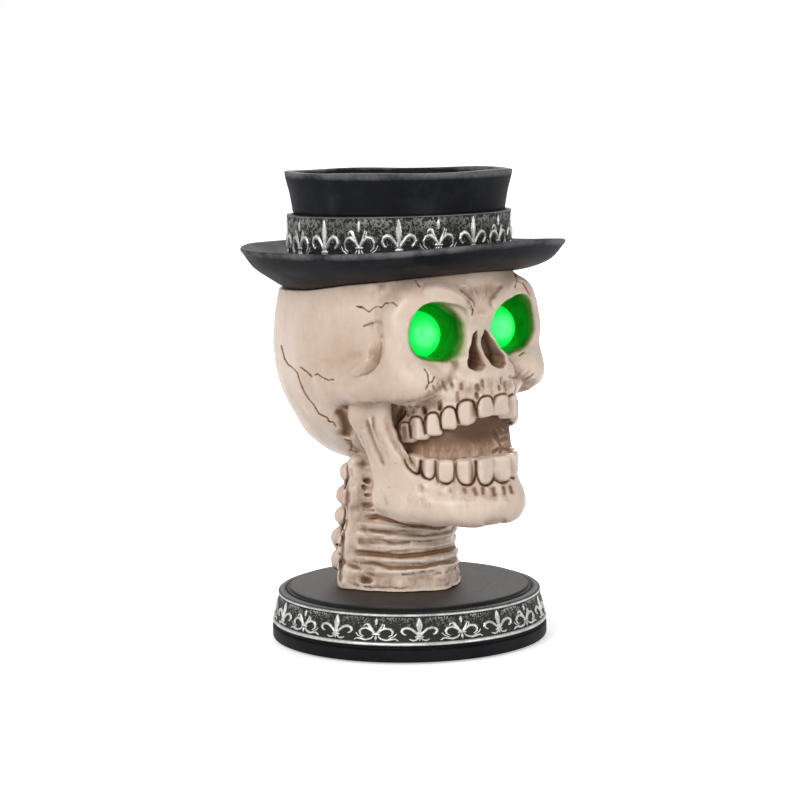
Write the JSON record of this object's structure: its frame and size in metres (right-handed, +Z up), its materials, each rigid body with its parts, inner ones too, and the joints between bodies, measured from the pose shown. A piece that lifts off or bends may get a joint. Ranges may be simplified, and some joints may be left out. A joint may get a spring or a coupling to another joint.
{
  "type": "skull candle holder",
  "caption": "Cast skull in a top hat on a neck and a round plinth; the open crown holds a pillar candle and the eye sockets hold lit domes.",
  "frame": {"origin": "on the table, under the middle of the plinth and its foot pads", "axes": "+Z up, the skull looks along -Y, +X is the skull's left"},
  "size_m": [0.175, 0.175, 0.2537],
  "materials": {
    "bone": "satin painted bone with a brown wash in its recesses",
    "hat": "satin near-black paint, dry-brushed grey on its edges",
    "plinth": "satin near-black paint with fine brushed streaks",
    "silver": "antique silver paint dry-brushed over black",
    "glow": "frosted green, lit from inside",
    "plastic": "fine moulded texture",
    "steel": "plain bright",
    "wire": "smooth insulation",
    "cell": "plain satin jacket",
    "pad": "matt foam rubber"
  },
  "bodies": {
    "holder": {"base_plinth": "plinth", "base_relief_band": "silver", "battery_tray": "plastic", "hinge_pin": "steel", "battery_lead": "wire", "foot_pad_1": "pad", "foot_pad_2": "pad", "foot_pad_3": "pad", "foot_pad_4": "pad", "battery_cell_1": "cell", "battery_cell_2": "cell", "battery_cell_3": "cell", "contact_plate_1": "steel", "contact_plate_2": "steel", "contact_plate_3": "steel", "contact_spring_1": "steel", "contact_spring_2": "steel", "contact_spring_3": "steel", "switch_body": "plastic", "neck_casting": "bone", "jaw_casting": "bone", "skull_casting": "bone", "hat_casting": "hat", "hat_relief_band": "silver", "eye_dome_right": "glow", "eye_dome_left": "glow", "eye_seat_right": "plastic", "eye_seat_left": "plastic", "led_right": "glow", "led_left": "glow", "led_lead_right": "wire", "led_lead_left": "wire"},
    "door": {"battery_door": "plastic", "door_screw": "steel"},
    "slider": {"switch_slider": "plastic"}
  },
  "joints": [
    {"name": "battery_door", "type": "hinge", "parent": "holder", "child": "door", "pos_m": [-0.0283, -0.0195, 0.0033], "axis": [0, 1, 0], "range_deg": [0, 90]},
    {"name": "switch_slider", "type": "slide", "parent": "holder", "child": "slider", "axis": [1, 0, 0], "range_m": [0, 0.004]}
  ]
}
